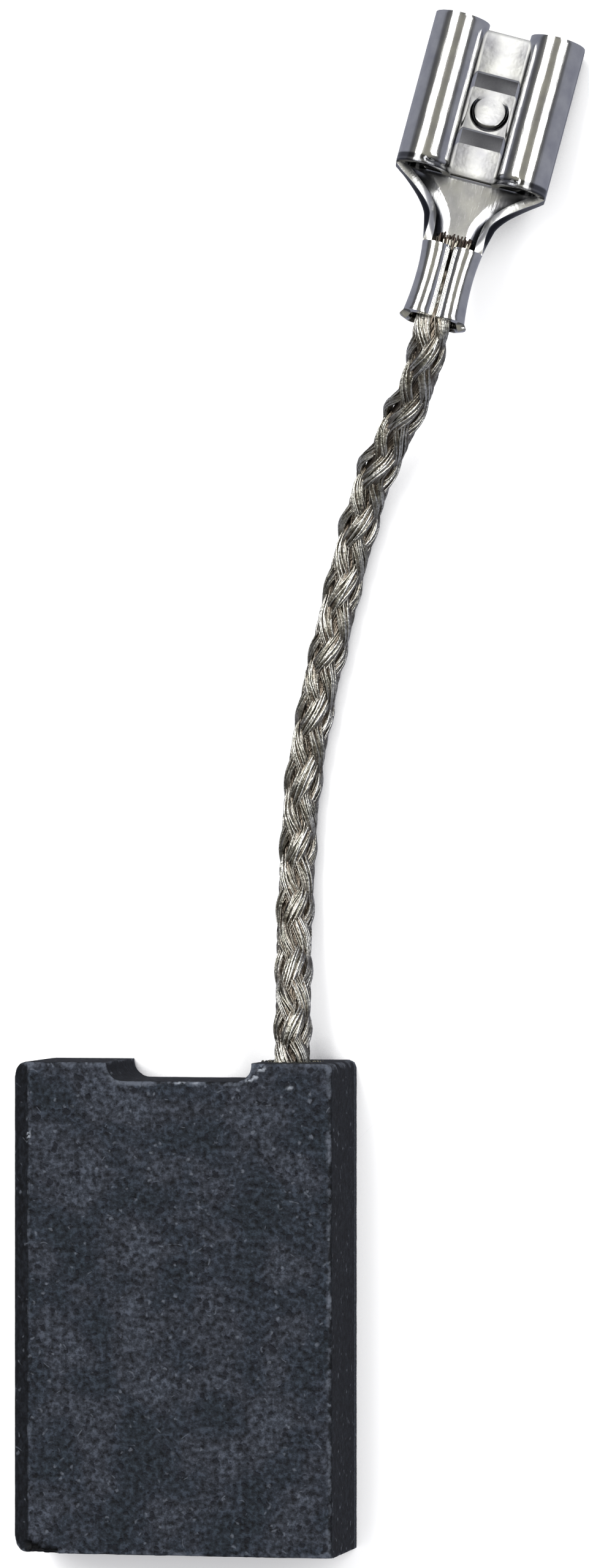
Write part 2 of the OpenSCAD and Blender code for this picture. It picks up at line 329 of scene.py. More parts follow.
def makeWorld():
    world = bpy.data.worlds.new("studio")
    world.use_nodes = True
    tree = world.node_tree
    tree.nodes.clear()
    ray = addNode(tree, "ShaderNodeLightPath")
    where = output(tree, "ShaderNodeTexCoord", None, "Generated")
    room = ramp(tree, output(tree, "ShaderNodeSeparateXYZ", {0: where}, "Z"), studio["room"])
    # What lies under the metal is mirrored in its underside, so it stays in the shade
    mirrored = laidOver(tree, room, studio["underside"], ray.outputs["Diffuse Depth"])
    seen = laidOver(tree, studio["worldColour"], mirrored, ray.outputs["Is Glossy Ray"])
    sky = output(tree, "ShaderNodeBackground", {"Color": seen})
    addNode(tree, "ShaderNodeOutputWorld", {"Surface": sky})
    scene.world = world


def makeLights():
    for strip in studio["strips"]:
        light = bpy.data.lights.new(strip["name"], "AREA")
        light.shape = "RECTANGLE"
        light.size, light.size_y = strip["size"]
        light.energy = strip["power"]
        lamp = bpy.data.objects.new(strip["name"], light)
        scene.collection.objects.link(lamp)
        away = Vector(strip["way"]).normalized()
        lamp.location = studio["stripCentre"] + away * studio["stripDistance"]
        side = Vector((0.0, 1.0, 0.0)).cross(away).normalized()
        lamp.rotation_euler = Matrix((side, away.cross(side), away)).transposed().to_euler()


makeCamera()
makeFloor()
makeWorld()
makeLights()
scene.view_settings.view_transform = "Standard"
print("camera and studio ready")


# Receptacle: one folded sheet, meshed along its middle, then given its thickness. Its own sizes are
# in millimetres, with stations counted from the tab end.

receptacle = {
    "mouth": Vector((12.6, 47.9, 4.35)) * mm,
    "turn": -13.2,
    "pitch": -10.5,
    "roll": 9.5,
    "mouthHeight": 1.1,
    "length": 15.0,
    "sheet": 0.4,
    "halfWidth": 3.75,
    "rollLength": 7.7,
    "rollHeight": 2.7,
    "curlRadius": 1.36,
    "cornerRadius": 0.7,
    "curlAngle": 192.0,
    "latchStation": 3.95,
    "bridgeLength": 2.1,
    "windowLength": 0.8,
    "windowWidth": 3.2,
    "dimpleRadius": 0.83,
    "dimpleRise": 0.3,
    "dimpleStart": 0.8,  # how far before its middle it starts to rise, as a share of its radius
    "creaseStation": 7.42,
    "creaseDepth": 0.1,
    "creaseReach": 0.102,
    "throatStation": 9.9,
    "wallHeight": 1.5,
    "wallLean": 0.28,
    "crimpWidth": 2.76,
    "crimpHeight": 2.05,
    "wingStart": 11.15,
    "wingEnd": 14.75,
    "waistStation": 12.65,
    "throatFlare": 0.05,
    "mouthFlare": 0.035,
    "mouthStep": 0.09,
    "mouthDrop": 0.1,
    "mouthSplay": 0.03,
    "floorFlat": 0.5,
    "seamGap": 0.06,
    "tipHeight": 1.0,  # how low the wings' tips come over the crushed shunt
    "facetWidth": 1.0,  # the slanting strips on both sides of the funnel's floor
    "facetTilt": (14.5, 16.0),  # degrees, left and right
    "facetStart": (0.05, 0.35),  # how far before the rolls' end they start, and over what length
    "facetEnd": (10.2, 1.2),  # from where they fade, and over what length
    "rightFacet": (0.25, 8.4, 0.7),  # its tilt's first share, where the rest starts, over what length
    "facetNarrows": (0.75, 3.0),  # by what share, and over what length
}

# How the sheet is meshed
form = {
    "floorColumns": 12,
    "facetColumns": 7,
    "bendColumns": 8,
    "wallColumns": 5,
    "curlColumns": 34,
    "lobeColumns": 16,
    "rowStep": 0.16,
    "creaseRows": (-0.17, -0.0765, 0.0765, 0.17),  # from the crease's middle
    "mouthRows": (0.17, 0.09),  # from the mouth's edge
    "patchHalf": 1.05,  # half the square round the latch that gets its own mesh, across and along
    "patchReach": 0.95,
    "patchColumns": 5,  # the columns to the square's edge and to the windows' edge
    "windowColumns": 9,
    "latchRings": [  # round the dimple: how far in or as a share of its radius, its rise, dull or not
        (0.10, 0.0, 1), (0.05, 0.02, 0), (0.02, 0.25, 0), (-0.08, 0.8, 0), (-0.12, 0.97, 0), (-0.16, 1.0, 1),
    ],
    "latchShares": [0.55, 0.25],
    "edgeRound": 0.13 * mm,
}
floorEnd = form["floorColumns"] + form["facetColumns"]
wallEnd = floorEnd + form["bendColumns"] + form["wallColumns"]

# The tin's dull places, and its painted shade, 0 to 1
tin = {
    "bentMatt": 0.2,
    "bentUntil": 0.3,  # before the wings
    "wallEdgeMatt": 0.3,
    "wallEdgeFrom": 0.5,  # beyond the rolls
    "floorShade": (0.25, 0.7, 0.8),  # over what length it starts, where before the wings it fades, and over what
    "creaseShade": 0.85,
    "curlTipShade": 0.6,
    "tabEndDarker": 0.6,
    "tabEndReach": 0.12,
    "rollEndShade": 0.3,  # how far the dark of the rolls' ends reaches up them
    "besideRolls": (0.8, 0.2),  # from how far across, and over what distance
    "bright": "#e8e8e4",
    "stained": "#c9c9cc",
    # the colour of the painted shade
    "paintedShadeColour": "#303136",
}

receptacleTurn = (
    Matrix.Rotation(math.radians(receptacle["turn"]), 3, "Z")
    @ Matrix.Rotation(math.radians(receptacle["pitch"]), 3, "X")
    @ Matrix.Rotation(math.radians(receptacle["roll"]), 3, "Y")
)


def receptaclePoint(across, station, height):
    local = Vector((across, receptacle["length"] - station, height - receptacle["mouthHeight"])) * mm
    return receptacle["mouth"] + receptacleTurn @ local


def easeOut(s):
    return 1 - (1 - s) ** 1.5


def smoothStep(s):
    s = min(1.0, max(0.0, s))
    return s * s * (3 - 2 * s)


def share(u, first, last):
    # How far between two of the receptacle's stations, 0 to 1
    first, last = receptacle[first], receptacle[last]
    return min(1.0, max(0.0, (u - first) / (last - first)))


def barrelHalf(u):
    r = receptacle
    flare = r["throatFlare"] if u < r["waistStation"] else r["mouthFlare"]
    half = r["crimpWidth"] / 2 + flare * (u - r["waistStation"]) ** 2
    return half + r["mouthStep"] * smoothStep(share(u, "wingEnd", "length"))


def halfAt(u):
    r = receptacle
    if u >= r["throatStation"]:
        return barrelHalf(u)
    s = share(u, "rollLength", "throatStation")
    return r["halfWidth"] + (barrelHalf(r["throatStation"]) - r["halfWidth"]) * easeOut(s)


def floorBend(u):
    r = receptacle
    s = share(u, "rollLength", "throatStation")
    wide = (r["crimpWidth"] - r["sheet"] - r["floorFlat"]) / 2
    return (r["cornerRadius"] - r["sheet"] / 2) * (1 - s) + wide * s


def lobeRadius(u):
    return (halfAt(u) - receptacle["sheet"] - receptacle["seamGap"] / 2) / 2


def lobeCentre(u):
    r = receptacle
    return r["crimpHeight"] + halfAt(u) - r["crimpWidth"] / 2 - r["sheet"] / 2 - lobeRadius(u)


def wallTop(u):
    r = receptacle
    if u <= r["rollLength"]:
        return r["wallHeight"]
    if u < r["wingStart"]:
        s = share(u, "rollLength", "wingStart")
        return r["wallHeight"] * (1 - s) + lobeCentre(r["wingStart"]) * s
    if u <= r["wingEnd"]:
        return lobeCentre(u)
    return lobeCentre(r["wingEnd"]) - r["mouthDrop"] * smoothStep(share(u, "wingEnd", "length"))


def facetAt(u, side):
    # The slanting facet's width and tilt, which fade into the funnel's throat
    r = receptacle
    past = u - r["rollLength"]
    early, rise = r["facetStart"]
    fading, over = r["facetEnd"]
    tilted = smoothStep((past + early) / rise) * (1 - smoothStep((u - fading) / over))
    if side:
        least, start, run = r["rightFacet"]
        tilted *= least + (1 - least) * smoothStep((u - start) / run)
    narrower, reach = r["facetNarrows"]
    width = r["facetWidth"] * (1 - narrower * smoothStep(past / reach))
    return width, math.radians(r["facetTilt"][side] * tilted)


def crossSection(u, side):
    # The sheet's middle on one side at a station: floor, facet, bend, wall, then curl or lobe.
    # Gives points (x, z) in millimetres with x positive, column by column.
    r = receptacle
    half = halfAt(u) - r["sheet"] / 2
    under = r["sheet"] / 2
    bend = floorBend(u)
    facet, tilt = facetAt(u, side)
    leastFlat = 0.2
    flatEnd = half - facet * math.cos(tilt) - bend * (1 - math.sin(tilt))
    if flatEnd < leastFlat:
        facet = max(0.0, facet - (leastFlat - flatEnd))
        flatEnd = half - facet * math.cos(tilt) - bend * (1 - math.sin(tilt))
    points = [(flatEnd * i / form["floorColumns"], under) for i in range(form["floorColumns"] + 1)]
    for i in range(1, form["facetColumns"] + 1):
        run = facet * i / form["facetColumns"]
        points.append((flatEnd + run * math.cos(tilt), under + run * math.sin(tilt)))
    footX, footZ = points[-1]
    for i in range(1, form["bendColumns"] + 1):
        a = tilt + (math.pi / 2 - tilt) * i / form["bendColumns"]
        points.append((footX + bend * (math.sin(a) - math.sin(tilt)),
                       footZ + bend * (math.cos(tilt) - math.cos(a))))
    wallZ = points[-1][1]
    top = wallTop(u)
    curlZ = r["rollHeight"] - r["curlRadius"]
    middle = r["curlRadius"] - r["sheet"] / 2
    span = share(u, "rollLength", "wingStart")
    lean = r["wallLean"] * math.sin(math.pi * span) if 0 < span < 1 else 0.0
    if u > r["wingEnd"]:
        lean = -r["mouthSplay"] * share(u, "wingEnd", "length")
    for i in range(1, form["wallColumns"] + 1):
        s = i / form["wallColumns"]
        z = wallZ + (top - wallZ) * s
        if u <= r["rollLength"] and z > curlZ:
            points.append((half - middle + middle * math.cos(math.asin((z - curlZ) / middle)), z))
        else:
            points.append((half - lean * s, z))
    if u <= r["rollLength"]:
        first = math.asin((top - curlZ) / middle)
        last = math.radians(r["curlAngle"])
        for i in range(1, form["curlColumns"] + 1):
            a = first + (last - first) * i / form["curlColumns"]
            points.append((half - middle + middle * math.cos(a), curlZ + middle * math.sin(a)))
    elif r["wingStart"] <= u <= r["wingEnd"]:
        radius = lobeRadius(u)
        for i in range(1, form["lobeColumns"] + 1):
            a = math.pi * i / form["lobeColumns"]
            points.append((half - radius + radius * math.cos(a), lobeCentre(u) + radius * math.sin(a)))
        for i in (1, 2):
            points.append((half - 2 * radius, lobeCentre(u) + (r["tipHeight"] - lobeCentre(u)) * i / 2))
    return points


def windowSpans():
    # Where the two windows start and end
    r = receptacle
    reach = (r["bridgeLength"] + r["windowLength"]) / 2
    return [(middle - r["windowLength"] / 2, middle + r["windowLength"] / 2)
            for middle in (r["latchStation"] - reach, r["latchStation"] + reach)]


def stationRows():
    # Even rows, with a row exactly at each edge that crosses the sheet
    r = receptacle
    edges = [0.0, r["rollLength"], r["wingStart"], r["wingEnd"], r["length"]]
    edges += [r["creaseStation"] + away for away in form["creaseRows"]]
    for span in windowSpans():
        edges += span
    edges += [r["latchStation"] - form["patchReach"], r["latchStation"] + form["patchReach"]]
    edges += [r["length"] - away for away in form["mouthRows"]]
    edges.sort()
    rows = [edges[0]]
    for a, b in zip(edges, edges[1:]):
        steps = max(1, round((b - a) / form["rowStep"]))
        rows += [a + (b - a) * i / steps for i in range(1, steps + 1)]
    return rows


def inCrease(u):
    return abs(u - receptacle["creaseStation"]) < receptacle["creaseReach"]


def matt(u, j):
    # How matt the tin is: 1 where the punch pressed it flat or sheared it, 0 where it was bent
    r = receptacle
    if inCrease(u):
        return 0.0
    if u < r["creaseStation"]:
        return max(0.0, min(1.0, 1 - (j - floorEnd + 3) / 4))
    if j == wallEnd and r["rollLength"] + tin["wallEdgeFrom"] < u < r["wingStart"]:
        return tin["wallEdgeMatt"]
    return tin["bentMatt"] if u < r["wingStart"] - tin["bentUntil"] else 0.0


def paintedShadeAt(u, j, x):
    # Painted shade: in the crease, beside the rolls, below their ends, at the curls' tips and down the funnel's
    # walls; and darker along the tab end
    r = receptacle
    if inCrease(u):
        return tin["creaseShade"]
    if j > wallEnd:
        ending = 0.0
        if u <= r["rollLength"]:
            ending = smoothStep((u - r["rollLength"] + tin["rollEndShade"]) / tin["rollEndShade"])
        return max(ending, tin["curlTipShade"] if j > wallEnd + form["curlColumns"] - 2 else 0.0)
    if u < r["creaseStation"]:
        start, over = tin["besideRolls"]
        return tin["tabEndDarker"] if u < tin["tabEndReach"] else smoothStep((x - start) / over)
    if u > r["wingEnd"]:
        return 0.0
    outward = smoothStep((j - form["floorColumns"] - 1) / form["facetColumns"])
    rise, early, over = tin["floorShade"]
    fading = smoothStep((u - r["wingStart"] + early) / over)
    reach = smoothStep((u - r["creaseStation"]) / rise) * (1 - fading)
    return outward * reach if j < wallEnd else 0.0


def within(u0, u1, low, high):
    return u0 > low - 1e-6 and u1 < high + 1e-6


def outline(faces, points):
    # The corners round a patch of faces, one after the other
    counts = {}
    for face in faces:
        for a, b in zip(face, face[1:] + face[:1]):
            counts[frozenset((a, b))] = counts.get(frozenset((a, b)), 0) + 1
    links = {}
    for edge, count in counts.items():
        if count == 1:
            a, b = edge
            links.setdefault(a, []).append(b)
            links.setdefault(b, []).append(a)
    loop, before = [min(links)], None
    while True:
        ahead = [k for k in links[loop[-1]] if k != before]
        before = loop[-1]
        if ahead[0] == loop[0] or len(loop) > len(links):
            break
        loop.append(ahead[0])
    area = sum(points[a][0] * points[b][1] - points[b][0] * points[a][1]
               for a, b in zip(loop, loop[1:] + loop[:1]))
    return loop[::-1] if area > 0 else loop


def addLatch(loop, points, faces, places, paintedShade):
    # Rings from the square's edge to a round dimple that ends in a step, with painted shade on the step
    middle, size = receptacle["latchStation"], receptacle["dimpleRadius"]
    start = receptacle["dimpleStart"]
    rings = [(size + more, risen, dull) for more, risen, dull in form["latchRings"]]
    rings += [(size * part, 1.0, 1) for part in form["latchShares"]]
    ringBefore = loop
    for radius, risen, dull in rings:
        ring = []
        for k in loop:
            a = math.atan2(points[k][1] - middle, points[k][0])
            x, y = radius * math.cos(a), radius * math.sin(a)
            slope = max(0.0, min(1.0, (y / size + start) / (1 + start)))
            ring.append(len(points))
            points.append([x, middle + y, receptacle["sheet"] / 2 + receptacle["dimpleRise"] * slope * risen])
            places.append((x, middle + y, 1.0 if dull or slope < 0.12 else 0.0))
            # Painted shade on the dimple's rising step
            paintedShade.append(0.0 if dull else 0.6 * smoothStep(slope * 3))
        for n in range(len(ring)):
            m = (n + 1) % len(ring)
            faces.append([ringBefore[n], ringBefore[m], ring[m], ring[n]])
        ringBefore = ring
    faces.append(list(ringBefore))


def receptacleMesh():
    # Points, faces, each point's place on the flat sheet with how matt it is, and its painted shade
    r = receptacle
    rows = stationRows()
    points, faces, places, paintedShade, cells = [], [], [], [], {}
    for i, u in enumerate(rows):
        for side in (0, 1):
            section = crossSection(u, side)
            run = 0.0
            for j, (x, z) in enumerate(section):
                if j:
                    run += math.dist(section[j], section[j - 1])
                if j == 0 and side == 1:
                    cells[i, 1, 0] = cells[i, 0, 0]
                    continue
                # The crease that stops the tab is pressed across the plate
                groove = r["creaseDepth"] if inCrease(u) and x < r["halfWidth"] - r["curlRadius"] else 0.0
                cells[i, side, j] = len(points)
                points.append([x if side else -x, u, z - groove])
                places.append((run if side else -run, u, matt(u, j)))
                paintedShade.append(paintedShadeAt(u, j, x))

    # Columns that end exactly at the windows' edges and at the latch's square
    flatEnd = crossSection(rows[0], 0)[form["floorColumns"]][0]
    marks = [(0, 0.0), (form["patchColumns"], form["patchHalf"]),
             (form["windowColumns"], r["windowWidth"] / 2), (form["floorColumns"], flatEnd)]
    for (i, side, j), k in cells.items():
        if rows[i] > r["creaseStation"] or j > form["floorColumns"]:
            continue
        for (a, xa), (b, xb) in zip(marks, marks[1:]):
            if a <= j <= b:
                x = xa + (xb - xa) * (j - a) / (b - a)
        points[k][0] = x if side else -x
        places[k] = (points[k][0], rows[i], places[k][2])

    square = (r["latchStation"] - form["patchReach"], r["latchStation"] + form["patchReach"])
    hole = []
    for i, (u0, u1) in enumerate(zip(rows, rows[1:])):
        last = wallEnd
        if within(u0, u1, 0.0, r["rollLength"]):
            last = wallEnd + form["curlColumns"]
        elif within(u0, u1, r["wingStart"], r["wingEnd"]):
            last = wallEnd + form["lobeColumns"] + 2
        inWindow = any(within(u0, u1, *span) for span in windowSpans())
        for side in (0, 1):
            for j in range(last):
                if inWindow and j < form["windowColumns"]:
                    continue
                face = [cells[i, side, j], cells[i, side, j + 1],
                        cells[i + 1, side, j + 1], cells[i + 1, side, j]]
                if j < form["patchColumns"] and within(u0, u1, *square):
                    hole.append(face)
                else:
                    faces.append(face if side == 0 else face[::-1])
    addLatch(outline(hole, points), points, faces, places, paintedShade)
    return points, faces, places, paintedShade


def makeReceptacle(material):
    points, faces, places, paintedShade = receptacleMesh()
    shell = meshObject("receptacleSheet", [receptaclePoint(*p) for p in points], faces, material=material)
    layer = shell.data.attributes.new("place", "FLOAT_VECTOR", "POINT")
    layer.data.foreach_set("vector", np.array(places, dtype=np.float32).ravel())
    floatAttribute(shell.data, "paintedShade", paintedShade)
    turnOutward(shell)
    thick = shell.modifiers.new("sheet", "SOLIDIFY")
    thick.thickness = receptacle["sheet"] * mm
    thick.offset = 0.0
    rounding = shell.modifiers.new("edges", "BEVEL")
    rounding.width = form["edgeRound"]
    rounding.segments = 2
    rounding.limit_method = "ANGLE"
    rounding.angle_limit = math.radians(50)
    made = applied(shell, "tabReceptacle")
    smoothShading(made)
    print("receptacle:", len(made.data.polygons), "faces")
    return made


def tinnedBrass():
    # Bright tin plate on folded brass: mirror-like with fine marks of the dies along it,
    # and dimpled where the punch pressed the plate flat
    material, tree, shader = newMaterial("bright tin plate on brass, stamped")
    place = output(tree, "ShaderNodeAttribute", None, "Vector", attribute_name="place")
    pressed = output(tree, "ShaderNodeSeparateXYZ", {0: place}, "Z")
    drawn = output(tree, "ShaderNodeMapping", {"Vector": place, "Scale": (9.0, 0.7, 1.0)})
    lines = noisy(tree, drawn, 1.0, 3.0)
    dimples = noisy(tree, place, 3.4, 2.5)
    relief = output(tree, "ShaderNodeMix", {"Factor": pressed, 2: lines, 3: dimples}, data_type="FLOAT")
    colour = ramp(tree, noisy(tree, place, 0.9, 3.0), [(0.3, tin["stained"]), (0.7, tin["bright"])])
    # Painted shade: darker in the crease, beside the rolls, at their ends and tips, down the funnel's walls and
    # on the latch's step
    colour = laidOver(tree, colour, tin["paintedShadeColour"], marked(tree, "paintedShade"))
    fill(shader, {
        "Base Color": colour, "Metallic": 1.0,
        "Roughness": spread(tree, pressed, 0.0, 1.0, 0.13, 0.68),
        "Normal": bumped(tree, relief, 0.09 * mm, spread(tree, pressed, 0.0, 1.0, 0.05, 0.5)),
    })
    return material


sheetMetal = makeReceptacle(tinnedBrass())
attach(sheetMetal, "root")
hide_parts("spade_terminal")


# Shunt: eight flat strands of fine wire, plaited over one and under one

shunt = {
    "diameter": 2.1 * mm,
    "exit": Vector((5.4, 12.0, 3.15)),
    "way": [  # from the exit, in millimetres, the height over the lying plait's middle
        (0, 0, 2.05), (0, 2, 1.9), (-0.1, 4, 1.3), (-0.2, 6, 0.65), (-0.2, 8.5, 0.15),
        (-0.1, 11, 0), (0.1, 13.5, 0), (0.5, 16, 0), (1, 18.5, 0), (1.6, 21, 0),
        (2.2, 23.5, 0), (2.9, 26, 0.1), (3.7, 28.3, 0.5), (4.8, 30.4, 1.1),
        (5.9, 32.3, 1.9), (6.7, 34.1, 2.7), (7.2, 35.9, 3.25),
    ],
    "crimped": [(14.4, 1.0), (13.6, 0.85), (12.3, 0.85)],  # along the receptacle, and height over its plate
    "lyingFrom": 11,
    "lyingHeight": 1.1,
    "buried": 1.2,  # how far the modelled plait runs into the block
    "freeLength": 38.0,
    "ringStep": 0.19,
    # Where a new float starts on the plait's left edge, from the block on
    "floats": [0.2, 3.0, 6.1, 9.2, 12.3, 15.7, 18.9, 21.9, 25.3, 28.4, 31.6, 34.9, 37.9],
    "inputs": {
        "Strands": 8,
        "Wires": 14,  # in each strand
        "Middle Radius": 0.64 * mm,
        "Wave": 0.105 * mm,
        "Half Width": 0.43 * mm,  # of a strand
        "Half Thickness": 0.16 * mm,
        "Wire Radius": 0.052 * mm,
        "Core Radius": 0.66 * mm,
        "Turned": math.radians(12.0),  # so that a row of floats faces the eye
        "Seed": 7,
    },
    "fillers": 3,  # how many of a strand's wires lie inside it
    "looseAt": [(30.0, 1.7, 0.1), (33.2, 1.6, 0.1), (26.9, 1.5, 0.06)],  # station, spread, rise in mm
    "looseSkew": 0.7,  # how far on in its wave a loose float rises, and by how much more
    "looseLift": 0.7,
    "stray": (0.85, 1.2),  # how far out the wires lie, as a share of the strand's thickness
    "wander": 0.17,  # how far they wander, as a share of its width
    "wanderRate": 1900.0,
    "crushFrom": 0.9,  # how far before the crimp the plait starts to be crushed, and over what length
    "crushOver": 1.3,
    "crushedWider": 0.06,
    "crushedFlatter": 0.42,
}


def smoothLine(points, step):
    # Points at an even step along a smooth line through the given ones
    points = [Vector(p) for p in points]
    padded = [points[0] * 2 - points[1]] + points + [points[-1] * 2 - points[-2]]
    fine = []
    for i in range(1, len(padded) - 2):
        a, b, c, d = padded[i - 1:i + 3]
        for k in range(24):
            t = k / 24
            fine.append(0.5 * (2 * b + (c - a) * t + (2 * a - 5 * b + 4 * c - d) * t * t
                               + (3 * b - a - 3 * c + d) * t ** 3))
    fine.append(points[-1])
    lengths = [0.0]
    for a, b in zip(fine, fine[1:]):
        lengths.append(lengths[-1] + (b - a).length)
    count = max(2, round(lengths[-1] / step))
    stations = np.linspace(0, lengths[-1], count + 1)
    table = np.array([tuple(p) for p in fine])
    return stations, np.stack([np.interp(stations, lengths, table[:, k]) for k in range(3)], axis=1)


def shuntRoute():
    # The free way, in millimetres, from the block to the crimp's mouth
    start, lying = shunt["exit"], shunt["lyingHeight"]
    rise = (start.z - lying) / shunt["way"][0][2]
    return [Vector((start.x + x, start.y + y, lying + z * (rise if y < shunt["lyingFrom"] else 1)))
            for x, y, z in shunt["way"]]


def plaitLine():
    # The plait's middle line with what changes along it, for the node tree
    free = shuntRoute()
    inside = [free[0] - Vector((0, shunt["buried"], 0))]
    crimped = [receptaclePoint(0, u, height) / mm for u, height in shunt["crimped"]]
    stations, points = smoothLine(inside + free + crimped, shunt["ringStep"])
    stations = stations - shunt["buried"]
    marks = shunt["floats"]
    pitch = (marks[-1] - marks[0]) / (len(marks) - 1)
    places = [marks[0] - pitch] + marks + [marks[-1] + pitch]
    turns = np.interp(stations, places, [(i - 0.5) * math.pi / 2 for i in range(len(places))])
    loose = sum(rise * np.exp(-((stations - at) / over) ** 2) for at, over, rise in shunt["looseAt"])
    flat = np.clip((stations - shunt["freeLength"] + shunt["crushFrom"]) / shunt["crushOver"], 0, 1)
    line = lineObject("plaitLine", [p * mm for p in points])
    floatAttribute(line.data, "turns", turns)
    floatAttribute(line.data, "loose", loose * mm)
    floatAttribute(line.data, "flat", flat * flat * (3 - 2 * flat))
    return line


def plaitNodes(tree, given):
    line = output(tree, "GeometryNodeMeshToCurve", {"Mesh": given["Geometry"]})
    level = output(tree, "GeometryNodeSetCurveNormal", {"Curve": line}, mode="Z_UP")
    copies, index = copied(tree, level, times(tree, given["Strands"], given["Wires"]))

    # Which strand, and which wire of it. Odd strands turn one way, even ones the other.
    strand = calc(tree, "FLOOR", calc(tree, "DIVIDE", index, given["Wires"]))
    wire = calc(tree, "MODULO", index, given["Wires"])
    hand = calc(tree, "MULTIPLY_ADD", calc(tree, "MODULO", strand, 2.0), -2.0, 1.0)
    place = calc(tree, "FLOOR", times(tree, strand, 0.5))

    # The angle round the plait, and the wave over one strand and under the next
    crossings = shunt["inputs"]["Strands"] / 2
    signed = times(tree, stored(tree, "turns"), hand)
    angle = calc(tree, "MULTIPLY_ADD", place, 2 * math.pi / crossings, signed)
    crossing = times(tree, angle, crossings)
    over = times(tree, calc(tree, "COSINE", crossing), hand)
    waved = calc(tree, "MULTIPLY_ADD", given["Wave"], over, given["Middle Radius"])

    # Loose floats stand out on the left edge only
    left = times(tree, calc(tree, "SINE", angle), -1.0)
    leftEdge = calc(tree, "POWER", calc(tree, "MAXIMUM", left, 0.0), 3.0)
    looseLeft = times(tree, stored(tree, "loose"), leftEdge)
    skewed = calc(tree, "COSINE", calc(tree, "ADD", crossing, shunt["looseSkew"]))
    lifted = times(tree, calc(tree, "ADD", skewed, shunt["looseLift"]), hand)
    radius = calc(tree, "ADD", waved, times(tree, looseLeft, lifted))

    # The wires that show lie side by side over their flat strand's outer face, each wandering a
    # little along the way. The first few fill the strand from side to side.
    filling = calc(tree, "LESS_THAN", wire, shunt["fillers"] - 0.5)
    stray = chance(tree, index, given["Seed"], *shunt["stray"])
    gaps = calc(tree, "SUBTRACT", given["Wires"], shunt["fillers"] + 1.0)
    evenly = calc(tree, "DIVIDE", calc(tree, "SUBTRACT", wire, float(shunt["fillers"])), gaps)
    sideToSide = calc(tree, "MULTIPLY_ADD", evenly, 2.0, -1.0)
    along = output(tree, "GeometryNodeSplineParameter", None, "Length")
    drift = calc(tree, "MULTIPLY_ADD", along, shunt["wanderRate"],
                 chance(tree, index, given["Seed"], 0.0, 2 * math.pi))
    shownAcross = calc(tree, "MULTIPLY_ADD", calc(tree, "SINE", drift), shunt["wander"], sideToSide)
    squared = times(tree, shownAcross, shownAcross)
    domed = calc(tree, "SQRT", calc(tree, "SUBTRACT", 1.0, squared, use_clamp=True))
    fillAcross = calc(tree, "MULTIPLY_ADD", wire, 0.55, -0.55)
    acrossShare = output(tree, "GeometryNodeSwitch", {
        "Switch": filling, "False": shownAcross, "True": fillAcross}, input_type="FLOAT")
    deepShare = output(tree, "GeometryNodeSwitch", {
        "Switch": filling, "False": times(tree, domed, stray), "True": 0.0}, input_type="FLOAT")
    wireRadius = calc(tree, "MULTIPLY_ADD", deepShare, given["Half Thickness"], radius)
    sideways = calc(tree, "DIVIDE", times(tree, acrossShare, given["Half Width"]), radius)
    facing = calc(tree, "ADD", calc(tree, "ADD", angle, sideways), given["Turned"])

    # Round the line: sine to the right, cosine upwards, pressed flat inside the crimp
    flat = stored(tree, "flat")
    toRight = times(tree, calc(tree, "SINE", facing), wireRadius)
    toUp = times(tree, calc(tree, "COSINE", facing), wireRadius)
    wider = calc(tree, "MULTIPLY_ADD", flat, shunt["crushedWider"], 1.0)
    lower = calc(tree, "MULTIPLY_ADD", flat, -shunt["crushedFlatter"], 1.0)
    normal = output(tree, "GeometryNodeInputNormal")
    upward = vectorCalc(tree, "CROSS_PRODUCT", normal, output(tree, "GeometryNodeInputTangent"))
    move = vectorCalc(tree, "ADD", scaled(tree, normal, times(tree, toRight, wider)),
                      scaled(tree, upward, times(tree, toUp, lower)))

    # Each wire's tone for the material, then the wires as thin tubes
    tone = chance(tree, index, given["Seed"], 0.0, 1.0)
    toned = store(tree, copies, "tone", tone, "CURVE")
    # How far out each wire lies, which the painted shade goes by
    outer = store(tree, toned, "outer", wireRadius, "POINT")
    laid = output(tree, "GeometryNodeSetPosition", {"Geometry": outer, "Offset": move})
    inner, shown = addNode(tree, "GeometryNodeSeparateGeometry",
                           {"Geometry": laid, "Selection": filling}, domain="CURVE").outputs
    wires = tube(tree, shown, 3, given["Wire Radius"])
    fillings = tube(tree, inner, 5, given["Half Thickness"])
    # The core gives way inside the crimp, where the wires are crushed together
    # The core lies deepest, so it gets the painted shade's dark colour all over
    squeezed = spread(tree, flat, 0.0, 0.5, 1.0, 0.12)
    core = tube(tree, level, 12, given["Core Radius"], squeezed)
    return output(tree, "GeometryNodeSetShadeSmooth", {"Geometry": joined(tree, wires, fillings, core)})


def tinnedCopper():
    # Tinned copper wire, drawn: soft silver sheen with a warm cast, each wire a little different
    material, tree, shader = newMaterial("tinned copper wire, drawn")
    where = output(tree, "ShaderNodeTexCoord", None, "Object")
    patches = noisy(tree, where, 1 / (0.5 * mm))
    fine = noisy(tree, where, 1 / (0.12 * mm))
    mixed = calc(tree, "MULTIPLY_ADD", marked(tree, "tone"), 0.5, patches)
    colour = ramp(tree, mixed, [(0.3, "#6d6a61"), (0.62, "#b4b2a6"), (1.0, "#f3f2ec")])
    colour = laidOver(tree, colour, "#4a463f", spread(tree, fine, 0.5, 0.36, 0.0, 0.6))
    # Painted shade: the wires are darker where they dive under
    lit = spread(tree, marked(tree, "outer"), 0.67 * mm, 0.86 * mm)
    fill(shader, {
        "Base Color": laidOver(tree, "#70675d", colour, lit), "Metallic": 1.0,
        "Roughness": spread(tree, patches, 0.0, 1.0, 0.22, 0.5),
        "Normal": bumped(tree, fine, 0.05 * mm, 0.6),
    })
    return material


